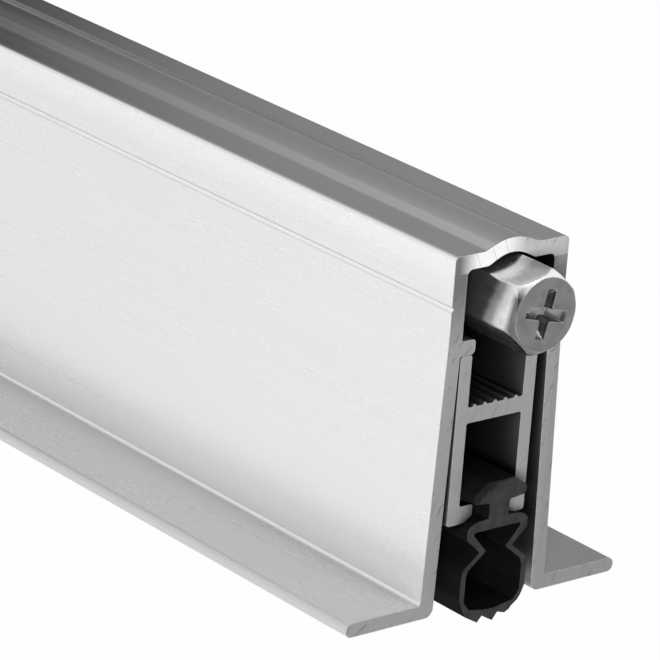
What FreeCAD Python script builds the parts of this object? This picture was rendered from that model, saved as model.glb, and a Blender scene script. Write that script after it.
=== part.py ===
import FreeCAD, Part
import math
import os

os.makedirs("parts", exist_ok=True)

# Automatic door bottom seal, half let into the door.
# X runs along the seal, the adjusting screw is at the +X end, Y is the door's thickness.
# Z is up. Z = 0 is the top of the flanges, the face that meets the underside of the door.
# The origin is the middle of the four flange holes in that face. Sizes in millimetres.

# housing extrusion
length = 335.0
flange_w = 44.45
flange_t = 1.9
top_w = 18.5
wall_t = 2.15
splay = 1.1
splay_z = 36.0
top_z = 46.15
top_t = 2.0
hump_w = 8.8
hump_rise = 1.75
hump_r = 7.5
arch_w = 7.6
arch_rise = 1.85
arch_r = 5.2
hook_z = 32.8
hook_t = 2.0
hook_gap = 9.7
groove_z = 39.3
groove_w = 0.72
groove_d = 0.3
heel_round = 1.2
crease_round = 0.5
edge_round = 0.7
hump_foot_r = 1.5
arch_foot_r = 1.0
chamber_round = 0.8
hook_round = 0.7
hook_back = 0.5
hook_root = 0.3
hook_step = 0.15

# flange holes
hole_pitch_x = 130.0
hole_pitch_y = 32.6
hole_d = 4.2
sink_d = 7.2

# drop bar extrusion
bar_w = 12.7
bar_t = 1.85
bar_y = -0.7
bar_top = 32.75
bar_bottom = 10.0
web_under = 23.6
web_t = 2.1
ridge_h = 0.3
ridge_w = 0.7
ridge_pitch = 1.7
lip_top = 12.4
lip_gap = 4.6
lip_edge = 1.5
lip_slope = 1.3
lip_round = 0.3
bar_round = 0.4
web_round = 0.3
tenon_len = 3.0
tenon_spread = 0.5
tenon_foot = 0.6
tenon_top = 0.5
lug_tenon_out = 5.0
plate_tenon_out = 2.7

# rubber seal
seal_over = 2.5
seal_wall = 0.8
seal_w = 10.8
shoulder_w = 10.8
waist_w = 5.3
waist_z = 6.75
neck_w = 3.2
head_w = 8.7
head_top = 16.1
foot_z = -2.2
tooth = 0.9
seal_fit = 0.05
shoulder_drop = 0.7
hip_drop = 1.9
side_drop = 3.1
side_round = 0.8
neck_round = 0.2
groove_round = 0.4
head_rise = 0.5
head_lift = 0.3
head_edge = 1.4
head_slope = 2.1
head_round = 0.5
sole_r = 8.0

# adjusting screw and push rod
axis_z = 39.4
hex_af = 10.0
hex_len = 12.0
hex_out = 7.0
hex_turn = -14.0
hex_face = 0.96
recess_w = 1.5
recess_span = 7.0
recess_deep = 2.2
pit_wide = 3.2
pit_narrow = 1.2
chamfer_angle = 30.0
shank_d = 6.0
shank_len = 17.0
sleeve_d = 9.0
sleeve_len = 18.0
sleeve_gap = 4.5
rod_d = 6.0
rod_run = 0.05
shank_gap = 0.5
rod_gap = 1.5
sleeve_chamfer = 0.5
clevis_len = 14.0
clevis_d = 8.6
clevis_lead = 4.5
clevis_slot_h = 12.0
strip_lap = 6.5
cross_d = 2.5
cross_in = 3.5
cross_short = 0.2
rod_end_gap = 1.0

# return spring
wire_d = 1.2
coil_d = 7.7
coil_turns = 4.0
wire_sides = 8
washer_t = 1.0
washer_d = 9.0
washer_run = 0.1

# levers
drop = 12.7
push = 4.0
lever_len = 50.0
lever_t = 1.4
lever_h = 6.0
lever_gap = 0.1
pin_d = 3.0
pin_run = 0.04
pin_proud = 0.4
front_pivot_in = 87.5
rear_pivot_in = 127.5
slide_t = 3.0
slide_h = 7.0
slide_tail = 4.0
lug_len = 15.0
lug_top = 34.2
lug_play = 0.2
lug_slack = 0.45

# guides
block_w = 14.0
block_len = 14.0
block_base = 34.85
block_top = 44.1
block_edge = 0.6
block_crown = 1.0
strip_fit = 0.05
front_block_in = 60.5
rear_block_in = 64.5
drop_guide_in = 27.5
guide_screw_pitch = 14.0
drop_guide_len = 24.0
ear_len = 9.0
ear_t = 2.4
ear_bottom = 27.1
guide_pin_d = 2.5
guide_pin_z = 29.9
plate_t = 2.0
plate_len = 9.0
plate_top = 45.0
plate_fit = 0.1
fix_d = 4.0
fix_head = 7.2
fix_len = 5.6

half = length / 2.0
front_block_x = half - front_block_in
front_pivot_x = half - front_pivot_in
rear_pivot_x = -half + rear_pivot_in
rear_block_x = -half + rear_block_in
drop_guide_x = -half + drop_guide_in
guide_screw_xs = [drop_guide_x - guide_screw_pitch / 2.0, drop_guide_x + guide_screw_pitch / 2.0]
fix_xs = [front_block_x, rear_block_x] + guide_screw_xs
sleeve_front = half + hex_out - hex_len - sleeve_gap
sleeve_back = sleeve_front - sleeve_len
clevis_back = front_pivot_x + clevis_lead
slide_front = clevis_back + strip_lap
slide_back = rear_block_x - block_len / 2.0 - slide_tail
cross_x = clevis_back + cross_in
rod_back = slide_front + rod_end_gap
ridge_top = web_under + web_t + ridge_h
mean_angle = math.atan(push / drop)
half_swing = math.asin(drop / (2.0 * lever_len * math.cos(mean_angle)))
rest_angle = mean_angle - half_swing
lever_dx = lever_len * math.cos(rest_angle)
lever_dz = lever_len * math.sin(rest_angle)
low_pivot_z = axis_z - lever_dz


def rounded_face(corners, x):
    """A face in the plane X = x from (y, z, radius) corners."""
    count = len(corners)
    starts = []
    ends = []
    mids = []
    for i in range(count):
        y, z, r = corners[i]
        py, pz, pr = corners[i - 1]
        ny, nz, nr = corners[(i + 1) % count]
        a = FreeCAD.Vector(0, py - y, pz - z)
        b = FreeCAD.Vector(0, ny - y, nz - z)
        a.normalize()
        b.normalize()
        here = FreeCAD.Vector(x, y, z)
        if r <= 0:
            starts.append(here)
            ends.append(here)
            mids.append(None)
            continue
        angle = a.getAngle(b)
        reach = r / math.tan(angle / 2.0)
        inward = a + b
        inward.normalize()
        centre = here + inward * (r / math.sin(angle / 2.0))
        starts.append(here + a * reach)
        ends.append(here + b * reach)
        mids.append(centre - inward * r)
    edges = []
    for i in range(count):
        if mids[i] is not None:
            edges.append(Part.Arc(starts[i], mids[i], ends[i]).toShape())
        after = starts[(i + 1) % count]
        if ends[i].distanceToPoint(after) > 1e-6:
            edges.append(Part.makeLine(ends[i], after))
    return Part.Face(Part.Wire(edges))


def extruded(corners, x0, x1):
    return rounded_face(corners, x0).extrude(FreeCAD.Vector(x1 - x0, 0, 0))


def box(x0, x1, y0, y1, z0, z1):
    return Part.makeBox(x1 - x0, y1 - y0, z1 - z0, FreeCAD.Vector(x0, y0, z0))


def rod_x(d, x0, x1, y, z):
    return Part.makeCylinder(d / 2.0, x1 - x0, FreeCAD.Vector(x0, y, z), FreeCAD.Vector(1, 0, 0))


def rod_y(d, y0, y1, x, z):
    return Part.makeCylinder(d / 2.0, y1 - y0, FreeCAD.Vector(x, y0, z), FreeCAD.Vector(0, 1, 0))


def rod_z(d, z0, z1, x, y):
    return Part.makeCylinder(d / 2.0, z1 - z0, FreeCAD.Vector(x, y, z0), FreeCAD.Vector(0, 0, 1))


def slot_y(d, x0, x1, y0, y1, z):
    body = box(x0, x1, y0, y1, z - d / 2.0, z + d / 2.0)
    return body.fuse([rod_y(d, y0, y1, x0, z), rod_y(d, y0, y1, x1, z)]).removeSplitter()


def save(name, shape):
    shape.exportStep("parts/" + name + ".step")


# Housing: one aluminium extrusion, an inverted channel with two flanges at its foot.
outer_top = top_w / 2.0
inner_top = outer_top - wall_t
outer_low = outer_top + splay
inner_low = inner_top + splay
tip = flange_w / 2.0
tip_round = flange_t * 0.49
under_top = top_z - top_t
hook_tip = hook_gap / 2.0
housing_right = [
    (inner_low, -flange_t, heel_round),
    (tip, -flange_t, tip_round),
    (tip, 0.0, tip_round),
    (outer_low, 0.0, crease_round),
    (outer_top, splay_z, 0.0),
    (outer_top, groove_z - groove_w / 2.0, 0.0),
    (outer_top - groove_d, groove_z, 0.0),
    (outer_top, groove_z + groove_w / 2.0, 0.0),
    (outer_top, top_z, edge_round),
    (hump_w / 2.0, top_z, hump_foot_r),
    (0.0, top_z + hump_rise, hump_r),
]
housing_left = [(-y, z, r) for y, z, r in reversed(housing_right[:-1])]
cavity_right = [
    (inner_top + hook_step, hook_z, hook_root),
    (hook_tip, hook_z, hook_round),
    (hook_tip, hook_z + hook_t, hook_back),
    (inner_top, hook_z + hook_t, hook_root),
    (inner_top, under_top, chamber_round),
    (arch_w / 2.0, under_top, arch_foot_r),
    (0.0, under_top + arch_rise, arch_r),
]
cavity_left = [(-y, z, r) for y, z, r in reversed(cavity_right[:-1])]
cavity = list(reversed(cavity_right + cavity_left))
housing = extruded(housing_right + housing_left + cavity, -half, half)
for sx in (-1, 1):
    for sy in (-1, 1):
        hx = sx * hole_pitch_x / 2.0
        hy = sy * hole_pitch_y / 2.0
        bore = rod_z(hole_d, -flange_t - 1.0, 1.0, hx, hy)
        sink = Part.makeCone(sink_d / 2.0, hole_d / 2.0, (sink_d - hole_d) / 2.0,
                             FreeCAD.Vector(hx, hy, -flange_t), FreeCAD.Vector(0, 0, 1))
        housing = housing.cut(bore.fuse(sink))


def fixing(x, grow):
    """Countersunk screw through the +Y wall into a block, or the hole it needs."""
    wall = outer_top + grow
    head_h = (fix_head - fix_d) / 2.0
    head = Part.makeCone(fix_d / 2.0, fix_head / 2.0, head_h,
                         FreeCAD.Vector(x, outer_top - head_h, groove_z), FreeCAD.Vector(0, 1, 0))
    shank = rod_y(fix_d, outer_top - fix_len, outer_top - head_h, x, groove_z)
    body = head.fuse(shank)
    if grow > 0:
        body = body.fuse(rod_y(fix_head, outer_top, wall, x, groove_z))
    return body.removeSplitter()


for x in fix_xs:
    housing = housing.cut(fixing(x, 1.0))
housing = housing.removeSplitter()
save("housing", housing)

# Drop bar: one aluminium extrusion, upper channel for the levers, lower channel for the seal.
bar_half = bar_w / 2.0
bar_in = bar_half - bar_t
web_top = web_under + web_t
lip_tip = lip_gap / 2.0
bar_right = [
    (lip_tip, lip_top - lip_edge, lip_round),
    (lip_tip + lip_slope, bar_bottom, web_round),
    (bar_half, bar_bottom, bar_round),
    (bar_half, bar_top, bar_round),
    (bar_in, bar_top, bar_round),
    (bar_in, web_top, web_round),
]
ridges = []
for k in (2, 1, 0, -1, -2):
    ry = k * ridge_pitch
    ridges.append((ry + ridge_w / 2.0, web_top, 0.0))
    ridges.append((ry + ridge_w / 5.0, web_top + ridge_h, 0.0))
    ridges.append((ry - ridge_w / 5.0, web_top + ridge_h, 0.0))
    ridges.append((ry - ridge_w / 2.0, web_top, 0.0))
bar_left = [(-y, z, r) for y, z, r in reversed(bar_right)]
bar_inner = [
    (-lip_tip, lip_top, lip_round),
    (-bar_in, lip_top, web_round),
    (-bar_in, web_under, web_round),
    (bar_in, web_under, web_round),
    (bar_in, lip_top, web_round),
    (lip_tip, lip_top, lip_round),
]
bar_corners = [(y + bar_y, z, r) for y, z, r in bar_right + ridges + bar_left + bar_inner]
drop_bar = extruded(bar_corners, -half, half)
front_low_x = front_pivot_x - lever_dx
rear_low_x = rear_pivot_x - lever_dx
tenon_slots = [
    (front_low_x, lug_tenon_out, slide_t),
    (rear_low_x, lug_tenon_out, slide_t),
    (drop_guide_x, plate_tenon_out, plate_t),
]
for cx, reach, thick in tenon_slots:
    for sx in (-1, 1):
        mid = cx + sx * reach
        cut = box(mid - tenon_len / 2.0, mid + tenon_len / 2.0, -thick / 2.0, thick / 2.0,
                  web_under - 1.0, ridge_top + 1.0)
        drop_bar = drop_bar.cut(cut)
save("drop_bar", drop_bar)

# Seal: one black rubber extrusion, head held above the lips, hollow foot below them.
shoulder = shoulder_w / 2.0
wide = seal_w / 2.0
waist = waist_w / 2.0
neck = neck_w / 2.0
head = head_w / 2.0
lip_low = bar_bottom - seal_fit
wall = seal_wall
seal_right = [
    (shoulder, lip_low - shoulder_drop, head_round),
    (waist, waist_z, neck_round),
    (wide - 0.3, waist_z - hip_drop, side_round),
    (wide, waist_z - side_drop, side_round),
    (wide, foot_z + 3.0, side_round),
]
seal_left = [(-y, z, r) for y, z, r in reversed(seal_right)]
seal_upper = [
    (-lip_tip - lip_slope, lip_low, neck_round),
    (-neck, lip_top - lip_edge + head_lift, neck_round),
    (-neck, lip_top + head_rise, groove_round),
    (-head, lip_top + head_rise + head_lift, head_round),
    (-head, head_top - head_edge, side_round),
    (-head + head_slope, head_top, head_round),
    (head - head_slope, head_top, head_round),
    (head, head_top - head_edge, side_round),
    (head, lip_top + head_rise + head_lift, head_round),
    (neck, lip_top + head_rise, groove_round),
    (neck, lip_top - lip_edge + head_lift, neck_round),
    (lip_tip + lip_slope, lip_low, neck_round),
]
teeth = [
    (wide - 0.5, foot_z + 1.8, 0.0),
    (wide - 1.0, foot_z + 1.1, 0.0),
    (wide - 1.9, foot_z + 0.5, 0.0),
    (wide - 2.3, foot_z + tooth * 0.05, 0.0),
    (wide - 3.0, foot_z - tooth * 0.3, 0.0),
    (wide - 4.2, foot_z + tooth * 0.1, 0.0),
    (wide - 5.0, foot_z - tooth, 0.0),
    (wide - 6.8, foot_z + tooth * 0.1, 0.0),
    (wide - 7.5, foot_z - tooth * 0.8, 0.0),
    (wide - 9.7, foot_z + 0.5, 0.4),
]
seal_outer = seal_upper + seal_right + teeth + seal_left
hollow = [
    (shoulder - wall * 1.5, lip_low - wall * 0.375, head_lift),
    (waist - wall * 1.3, waist_z, neck_round),
    (wide - 0.3 - wall, waist_z - hip_drop - wall / 4.0, head_round),
    (wide - wall, waist_z - side_drop, wall / 2.0),
    (wide - wall, foot_z + 2.5, wall * 0.75),
    (wide - wall - 0.9, foot_z + 1.3, wall / 2.0),
    (0.0, foot_z + wall * 0.875, sole_r),
]
hollow_left = [(-y, z, r) for y, z, r in reversed(hollow[:-1])]
hollow_all = hollow + hollow_left
seal_face = rounded_face([(y + bar_y, z, r) for y, z, r in seal_outer], -half - seal_over)
hollow_face = rounded_face([(y + bar_y, z, r) for y, z, r in hollow_all], -half - seal_over)
seal = seal_face.cut(hollow_face).extrude(FreeCAD.Vector(length + 2.0 * seal_over, 0, 0))
save("seal", seal)

# Adjusting screw: long hexagon with a chamfered face and a cross recess, threaded shank behind.
hex_back = half + hex_out - hex_len
hex_front = half + hex_out
corner_r = hex_af / math.sqrt(3.0)
ring = []
for k in range(7):
    a = math.radians(30.0 + 60.0 * k)
    ring.append(FreeCAD.Vector(hex_back, corner_r * math.cos(a), axis_z + corner_r * math.sin(a)))
head_body = Part.Face(Part.makePolygon(ring)).extrude(FreeCAD.Vector(hex_len, 0, 0))
face_r = hex_face * hex_af / 2.0
flare = hex_len / math.tan(math.radians(chamfer_angle))
cone = Part.makeCone(face_r + flare, face_r, hex_len,
                     FreeCAD.Vector(hex_back, 0, axis_z), FreeCAD.Vector(1, 0, 0))
head_body = head_body.common(cone)
shank = rod_x(shank_d, hex_back - shank_len, hex_back + shank_gap, 0, axis_z)
screw = head_body.fuse(shank)
arm_a = box(hex_front - recess_deep, hex_front + 1.0, -recess_span / 2.0, recess_span / 2.0,
            axis_z - recess_w / 2.0, axis_z + recess_w / 2.0)
arm_b = box(hex_front - recess_deep, hex_front + 1.0, -recess_w / 2.0, recess_w / 2.0,
            axis_z - recess_span / 2.0, axis_z + recess_span / 2.0)
pit_floor = FreeCAD.Vector(hex_front - recess_deep, 0, axis_z)
centre_hole = Part.makeCone(pit_narrow / 2.0, pit_wide / 2.0, recess_deep, pit_floor, FreeCAD.Vector(1, 0, 0))
screw = screw.cut(arm_a.fuse([arm_b, centre_hole])).removeSplitter()
screw.rotate(FreeCAD.Vector(0, 0, axis_z), FreeCAD.Vector(1, 0, 0), hex_turn)
save("adjusting_screw", screw)

# Threaded sleeve on the front of the push rod, and the rod itself.
sleeve = rod_x(sleeve_d, sleeve_back, sleeve_front, 0, axis_z)
sleeve_bore = rod_x(shank_d + 2.0 * rod_run, hex_back - shank_len - shank_gap, sleeve_front + 1.0, 0, axis_z)
rod_seat = hex_back - shank_len - rod_gap
sleeve = sleeve.cut(sleeve_bore).cut(rod_x(rod_d, sleeve_back - 1.0, rod_seat, 0, axis_z))
rims = [e for e in sleeve.Edges if e.BoundBox.XLength < 1e-6 and e.BoundBox.YLength > sleeve_d * 0.98]
sleeve = sleeve.makeChamfer(sleeve_chamfer, rims)
save("threaded_sleeve", sleeve)
rod = rod_x(rod_d, rod_back, rod_seat, 0, axis_z)
save("push_rod", rod)

# Clevis: round steel end, slotted for the slide strip, cross pinned.
clevis = rod_x(clevis_d, clevis_back, clevis_back + clevis_len, 0, axis_z)
clevis = clevis.cut(rod_x(rod_d, rod_back, clevis_back + clevis_len + 1.0, 0, axis_z))
clevis = clevis.cut(box(clevis_back - 1.0, slide_front, -slide_t / 2.0, slide_t / 2.0,
                        axis_z - clevis_slot_h / 2.0, axis_z + clevis_slot_h / 2.0))
clevis = clevis.cut(rod_y(cross_d, -clevis_d, clevis_d, cross_x, axis_z))
save("rod_clevis", clevis)
cross_half = clevis_d / 2.0 - cross_short
save("clevis_pin", rod_y(cross_d, -cross_half, cross_half, cross_x, axis_z))

# Return spring around the rod, between the front guide block and a washer behind the sleeve.
block_front = front_block_x + block_len / 2.0
washer_x = sleeve_back - washer_t
washer = rod_x(washer_d, washer_x, sleeve_back, 0, axis_z)
washer = washer.cut(rod_x(rod_d + 2.0 * washer_run, washer_x - 1.0, sleeve_back + 1.0, 0, axis_z))
save("spring_washer", washer)
spring_run = washer_x - block_front
coil_r = coil_d / 2.0
pitch = (spring_run - wire_d) / coil_turns
helix = Part.makeHelix(pitch, spring_run - wire_d, coil_r)
ring = []
for k in range(wire_sides + 1):
    a = math.radians(360.0 * (k + 0.5) / wire_sides)
    ring.append(FreeCAD.Vector(coil_r + wire_d / 2.0 * math.cos(a), 0, wire_d / 2.0 * math.sin(a)))
section = Part.makePolygon(ring)
coil = Part.Wire(helix.Edges).makePipeShell([section], True, True)
coil.rotate(FreeCAD.Vector(0, 0, 0), FreeCAD.Vector(0, 1, 0), 90)
coil.translate(FreeCAD.Vector(block_front + wire_d / 2.0, 0, axis_z))
save("return_spring", coil)

# Front guide block: bored for the rod, held by one screw through the wall.
def block(x, size):
    hw = block_w / 2.0
    corners = [
        (-hw, block_base, block_edge),
        (hw, block_base, block_edge),
        (hw, block_top, block_crown),
        (-hw, block_top, block_crown),
    ]
    return extruded(corners, x - size / 2.0, x + size / 2.0)


front_block = block(front_block_x, block_len)
front_block = front_block.cut(rod_x(rod_d + 2.0 * rod_run, 0.0, half, 0, axis_z))
front_block = front_block.cut(fixing(front_block_x, 0.0))
save("front_guide_block", front_block)

# Rear guide block: slotted for the slide strip.
rear_block = block(rear_block_x, block_len)
strip_half = slide_t / 2.0 + strip_fit
strip_rise = slide_h / 2.0 + strip_fit
strip_hole = box(-half, 0.0, -strip_half, strip_half, axis_z - strip_rise, axis_z + strip_rise)
rear_block = rear_block.cut(strip_hole).cut(fixing(rear_block_x, 0.0))
save("rear_guide_block", rear_block)

# Drop guide block: slot for the guide plate, two ears below that carry its pin.
guide_block = block(drop_guide_x, drop_guide_len)
gap = plate_t / 2.0 + plate_fit
for sy in (-1, 1):
    y0 = min(sy * gap, sy * (gap + ear_t))
    ear = box(drop_guide_x - ear_len / 2.0, drop_guide_x + ear_len / 2.0, y0, y0 + ear_t,
              ear_bottom, block_base + 2.0)
    guide_block = guide_block.fuse(ear)
plate_room = plate_len / 2.0 + plate_fit
plate_hole = box(drop_guide_x - plate_room, drop_guide_x + plate_room, -gap, gap,
                 ear_bottom - 1.0, block_top + 1.0)
guide_block = guide_block.cut(plate_hole)
guide_block = guide_block.cut(rod_y(guide_pin_d, -block_w, block_w, drop_guide_x, guide_pin_z))
for x in guide_screw_xs:
    guide_block = guide_block.cut(fixing(x, 0.0))
guide_block = guide_block.removeSplitter()
save("drop_guide_block", guide_block)
save("guide_pin", rod_y(guide_pin_d, -gap - ear_t, gap + ear_t, drop_guide_x, guide_pin_z))


def tenoned(shape, x, reach, thick):
    """Adds two tenons through the web, spread below it."""
    foot_x = tenon_len / 2.0 + tenon_spread
    foot_y = thick / 2.0 + tenon_spread
    for sx in (-1, 1):
        mid = x + sx * reach
        leg = box(mid - tenon_len / 2.0, mid + tenon_len / 2.0, -thick / 2.0, thick / 2.0,
                  web_under, ridge_top + tenon_top)
        foot = box(mid - foot_x, mid + foot_x, -foot_y, foot_y, web_under - tenon_foot, web_under)
        shape = shape.fuse([leg, foot])
    return shape.removeSplitter()


# Guide plate: stands on the web, its upright slot runs on the guide pin.
plate = box(drop_guide_x - plate_len / 2.0, drop_guide_x + plate_len / 2.0, -plate_t / 2.0, plate_t / 2.0,
            ridge_top, plate_top)
slot_w = guide_pin_d + plate_fit
slot = box(drop_guide_x - slot_w / 2.0, drop_guide_x + slot_w / 2.0, -plate_t, plate_t,
           guide_pin_z, guide_pin_z + drop)
slot = slot.fuse([rod_y(slot_w, -plate_t, plate_t, drop_guide_x, guide_pin_z),
                  rod_y(slot_w, -plate_t, plate_t, drop_guide_x, guide_pin_z + drop)])
plate = tenoned(plate.cut(slot), drop_guide_x, plate_tenon_out, plate_t)
save("guide_plate", plate)

# Slide strip: flat steel, drilled for the two lever pins and the clevis pin.
strip = box(slide_back, slide_front, -slide_t / 2.0, slide_t / 2.0,
            axis_z - slide_h / 2.0, axis_z + slide_h / 2.0)
for x in (front_pivot_x, rear_pivot_x):
    strip = strip.cut(rod_y(pin_d + 2.0 * pin_run, -slide_t, slide_t, x, axis_z))
strip = strip.cut(rod_y(cross_d, -slide_t, slide_t, cross_x, axis_z))
save("slide_strip", strip)


# Levers: two flat plates a pair, riveted to an upper and a lower pin.
def lever(x, sy):
    inner_y = slide_t / 2.0 + lever_gap
    y0 = inner_y if sy > 0 else -inner_y - lever_t
    y1 = y0 + lever_t
    plate_body = slot_y(lever_h, x - lever_len, x, y0, y1, axis_z)
    plate_body = plate_body.cut(rod_y(pin_d, y0 - 1.0, y1 + 1.0, x, axis_z))
    plate_body = plate_body.cut(rod_y(pin_d, y0 - 1.0, y1 + 1.0, x - lever_len, axis_z))
    plate_body.rotate(FreeCAD.Vector(x, 0, axis_z), FreeCAD.Vector(0, 1, 0), -math.degrees(rest_angle))
    return plate_body


pin_half = slide_t / 2.0 + lever_gap + lever_t + pin_proud
for name, x in (("front", front_pivot_x), ("rear", rear_pivot_x)):
    save(name + "_lever_left", lever(x, -1))
    save(name + "_lever_right", lever(x, 1))
    save(name + "_upper_pin", rod_y(pin_d, -pin_half, pin_half, x, axis_z))
    save(name + "_lower_pin", rod_y(pin_d, -pin_half, pin_half, x - lever_dx, low_pivot_z))
    lx = x - lever_dx
    lug = box(lx - lug_len / 2.0, lx + lug_len / 2.0, -slide_t / 2.0, slide_t / 2.0, ridge_top, lug_top)
    race = slot_y(pin_d + 2.0 * lug_play, lx - lug_slack, lx, -slide_t, slide_t, low_pivot_z)
    lug = tenoned(lug.cut(race), lx, lug_tenon_out, slide_t)
    save(name + "_lug", lug)

save("block_screws", Part.makeCompound([fixing(x, 0.0) for x in fix_xs]))
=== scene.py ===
import bmesh
import bpy
import math
from mathutils import Matrix, Vector


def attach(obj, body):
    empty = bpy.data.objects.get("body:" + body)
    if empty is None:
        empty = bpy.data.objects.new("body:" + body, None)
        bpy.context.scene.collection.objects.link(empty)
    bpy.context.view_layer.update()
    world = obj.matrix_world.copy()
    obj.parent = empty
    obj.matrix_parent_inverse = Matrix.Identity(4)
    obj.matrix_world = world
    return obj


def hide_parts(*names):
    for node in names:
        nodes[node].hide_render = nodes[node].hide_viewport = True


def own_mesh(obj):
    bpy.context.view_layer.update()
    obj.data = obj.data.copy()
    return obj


# Automatic door bottom seal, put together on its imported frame. Metres, in the frame's own axes:
# X runs along the seal towards the adjusting screw, Z is up, and Z = 0 is the door's underside.
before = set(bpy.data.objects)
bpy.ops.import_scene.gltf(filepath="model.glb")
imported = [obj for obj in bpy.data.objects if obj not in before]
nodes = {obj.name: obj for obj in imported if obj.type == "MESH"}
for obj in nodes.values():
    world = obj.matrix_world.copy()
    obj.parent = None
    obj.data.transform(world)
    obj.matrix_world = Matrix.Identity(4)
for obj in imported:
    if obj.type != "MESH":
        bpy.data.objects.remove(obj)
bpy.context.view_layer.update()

# Housing. The aluminium channel that is let into the door's underside and screwed up through its
# two flanges. It is pressed through a die in one length, which leaves fine lines along it, and
# sawn off square, which leaves slanting tooth marks on both ends.
half_length = 0.1675
cut_skin = 0.00003


def add(tree, kind, **settings):
    node = tree.nodes.new(kind)
    for name, value in settings.items():
        setattr(node, name, value)
    return node


def put(tree, value, socket):
    if isinstance(value, bpy.types.NodeSocket):
        tree.links.new(value, socket)
    else:
        socket.default_value = value


def calc(tree, operation, *values, clamp=False):
    node = add(tree, "ShaderNodeMath", operation=operation, use_clamp=clamp)
    for value, socket in zip(values, node.inputs):
        put(tree, value, socket)
    return node.outputs[0]


def plus(tree, first, second, clamp=False):
    return calc(tree, "ADD", first, second, clamp=clamp)


def minus(tree, first, second, clamp=False):
    return calc(tree, "SUBTRACT", first, second, clamp=clamp)


def times(tree, first, second, clamp=False):
    return calc(tree, "MULTIPLY", first, second, clamp=clamp)


def larger(tree, first, second):
    return calc(tree, "MAXIMUM", first, second)


def is_over(tree, value, level):
    return calc(tree, "GREATER_THAN", value, level)


def is_under(tree, value, level):
    return calc(tree, "LESS_THAN", value, level)


def rising(tree, value, foot, width):
    """Nought up to the foot, and from there up to one over the width."""
    return calc(tree, "DIVIDE", minus(tree, value, foot), width, clamp=True)


def falling(tree, value, foot, width):
    """One until a width before the foot, and from there down to nought at the foot."""
    return calc(tree, "DIVIDE", minus(tree, foot, value), width, clamp=True)


def between(tree, value, low, high, soft):
    return times(tree, rising(tree, value, low, soft), falling(tree, value, high, soft))


def peaks(tree, noise, level, gain):
    """Only what stands over the level in a noise, made steeper."""
    return times(tree, minus(tree, noise, level), gain, clamp=True)


def mix_number(tree, share, low, high):
    node = add(tree, "ShaderNodeMix", data_type="FLOAT")
    put(tree, share, node.inputs[0])
    put(tree, low, node.inputs[2])
    put(tree, high, node.inputs[3])
    return node.outputs[0]


def mix_colour(tree, share, low, high):
    node = add(tree, "ShaderNodeMix", data_type="RGBA")
    put(tree, share, node.inputs[0])
    put(tree, low, node.inputs[6])
    put(tree, high, node.inputs[7])
    return node.outputs[2]


def grey(value):
    return (value, value, value, 1.0)


def tint(tree, colour, factor):
    node = add(tree, "ShaderNodeVectorMath", operation="SCALE")
    put(tree, colour if isinstance(colour, bpy.types.NodeSocket) else colour[:3], node.inputs[0])
    put(tree, factor, node.inputs["Scale"])
    return node.outputs[0]


def tint_where(tree, share, colour, factor):
    return mix_colour(tree, share, colour, tint(tree, colour, factor))


def grain(tree, scale, turn=(0.0, 0.0, 0.0), detail=2.0, rough=0.5):
    place = add(tree, "ShaderNodeTexCoord")
    stretch = add(tree, "ShaderNodeMapping")
    stretch.inputs["Scale"].default_value = scale
    stretch.inputs["Rotation"].default_value = turn
    noise = add(tree, "ShaderNodeTexNoise")
    noise.inputs["Scale"].default_value = 1.0
    noise.inputs["Detail"].default_value = detail
    noise.inputs["Roughness"].default_value = rough
    tree.links.new(place.outputs["Object"], stretch.inputs[0])
    tree.links.new(stretch.outputs[0], noise.inputs["Vector"])
    return noise.outputs[0]


def axes(tree, frame_of="Object"):
    place = add(tree, "ShaderNodeTexCoord")
    split = add(tree, "ShaderNodeSeparateXYZ")
    tree.links.new(place.outputs[frame_of], split.inputs[0])
    return split.outputs


def effect(name, takes, gives):
    tree = bpy.data.node_groups.new(name, "ShaderNodeTree")
    for label, kind, value in takes:
        socket = tree.interface.new_socket(label, in_out="INPUT", socket_type="NodeSocket" + kind)
        socket.default_value = value
    for label, kind in gives:
        tree.interface.new_socket(label, in_out="OUTPUT", socket_type="NodeSocket" + kind)
    given = tree.nodes.new("NodeGroupInput").outputs
    result = tree.nodes.new("NodeGroupOutput").inputs
    return tree, given, result


def apply_effect(tree, group, **values):
    node = add(tree, "ShaderNodeGroup", node_tree=group)
    for name, value in values.items():
        put(tree, value, node.inputs[name])
    return node.outputs


def finish(name, roughness, metallic):
    material = bpy.data.materials.new(name)
    material.use_nodes = True
    shader = material.node_tree.nodes["Principled BSDF"]
    shader.inputs["Roughness"].default_value = roughness
    shader.inputs["Metallic"].default_value = metallic
    return material, material.node_tree, shader.inputs


def relief(tree, height, strength, depth, edge):
    """A bump from the height, on a normal that is rounded at the edges."""
    bump = add(tree, "ShaderNodeBump")
    bump.inputs["Strength"].default_value = strength
    bump.inputs["Distance"].default_value = depth
    put(tree, height, bump.inputs["Height"])
    soft = add(tree, "ShaderNodeBevel", samples=6)
    soft.inputs["Radius"].default_value = edge
    tree.links.new(soft.outputs[0], bump.inputs["Normal"])
    return bump.outputs[0]


def dress(material, *names):
    for name in names:
        for place in nodes[name].material_slots:
            place.material = material


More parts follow.
